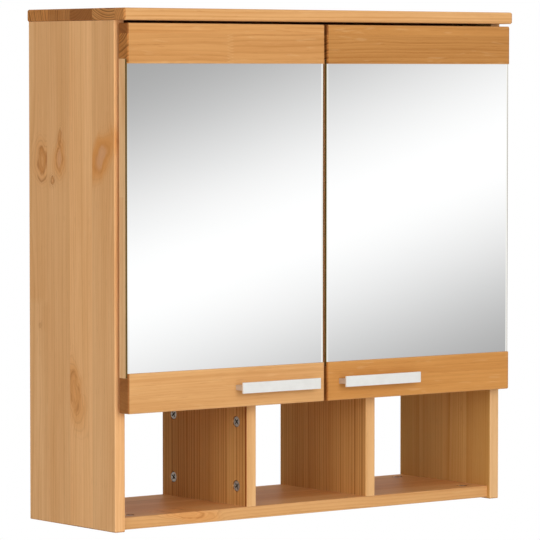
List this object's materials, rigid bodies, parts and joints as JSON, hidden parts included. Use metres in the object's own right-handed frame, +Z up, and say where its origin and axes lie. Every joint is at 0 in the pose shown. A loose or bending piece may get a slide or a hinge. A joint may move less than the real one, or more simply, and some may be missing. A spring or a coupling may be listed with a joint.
{
  "type": "mirror cabinet",
  "caption": "Wall-hung pine bathroom cabinet with hinged mirror doors on bar handles above open niches between dividers.",
  "frame": {"origin": "on the wall plane, midway between the two wall-screw holes in the hanging rail", "axes": "+Z up, +Y into the wall, +X to the right as seen from the room, doors on the -Y side"},
  "size_m": [0.66, 0.2377, 0.678],
  "materials": {
    "pine": "honey-oiled, satin",
    "plywood": "thin plywood, matt",
    "beech": "raw, fluted dowels",
    "mirror_glass": "silvered",
    "satin_metal": "satin",
    "nickel_steel": "nickel-plated",
    "bright_steel": "zinc-plated",
    "zinc": "die-cast",
    "silicone": "soft, clear"
  },
  "bodies": {
    "cabinet": {"back_panel": "plywood", "back_panel_nails": "bright_steel", "bottom_shelf": "pine", "cabinet_floor": "pine", "cam_bolts": "bright_steel", "divider_cam_discs": "zinc", "floor_cam_discs": "zinc", "hanging_rail": "pine", "hinge_arm_screws": "bright_steel", "hinge_plate_screws": "bright_steel", "inner_shelf": "pine", "left_divider": "pine", "left_lower_hinge_arm": "nickel_steel", "left_lower_hinge_plate": "nickel_steel", "left_side_panel": "pine", "left_upper_hinge_arm": "nickel_steel", "left_upper_hinge_plate": "nickel_steel", "right_divider": "pine", "right_lower_hinge_arm": "nickel_steel", "right_lower_hinge_plate": "nickel_steel", "right_side_panel": "pine", "right_upper_hinge_arm": "nickel_steel", "right_upper_hinge_plate": "nickel_steel", "shelf_cam_discs": "zinc", "shelf_pins": "bright_steel", "side_cam_discs": "zinc", "top_board": "pine", "wooden_dowels": "beech"},
    "left_door": {"left_door_bottom_rail": "pine", "left_door_bumpers": "silicone", "left_door_dowels": "beech", "left_door_handle_bar": "satin_metal", "left_door_handle_posts": "satin_metal", "left_door_handle_screws": "bright_steel", "left_door_hinge_cup_screws": "bright_steel", "left_door_hinge_pins": "nickel_steel", "left_door_lower_hinge_cup": "nickel_steel", "left_door_mirror": "mirror_glass", "left_door_panel": "pine", "left_door_top_rail": "pine", "left_door_upper_hinge_cup": "nickel_steel"},
    "right_door": {"right_door_bottom_rail": "pine", "right_door_bumpers": "silicone", "right_door_dowels": "beech", "right_door_handle_bar": "satin_metal", "right_door_handle_posts": "satin_metal", "right_door_handle_screws": "bright_steel", "right_door_hinge_cup_screws": "bright_steel", "right_door_hinge_pins": "nickel_steel", "right_door_lower_hinge_cup": "nickel_steel", "right_door_mirror": "mirror_glass", "right_door_panel": "pine", "right_door_top_rail": "pine", "right_door_upper_hinge_cup": "nickel_steel"}
  },
  "joints": [
    {"name": "left_door_hinge", "type": "hinge", "parent": "cabinet", "child": "left_door", "pos_m": [-0.316, -0.2075, 0], "axis": [0, 0, -1], "range_deg": [0, 95]},
    {"name": "right_door_hinge", "type": "hinge", "parent": "cabinet", "child": "right_door", "pos_m": [0.316, -0.2075, 0], "axis": [0, 0, 1], "range_deg": [0, 95]}
  ]
}
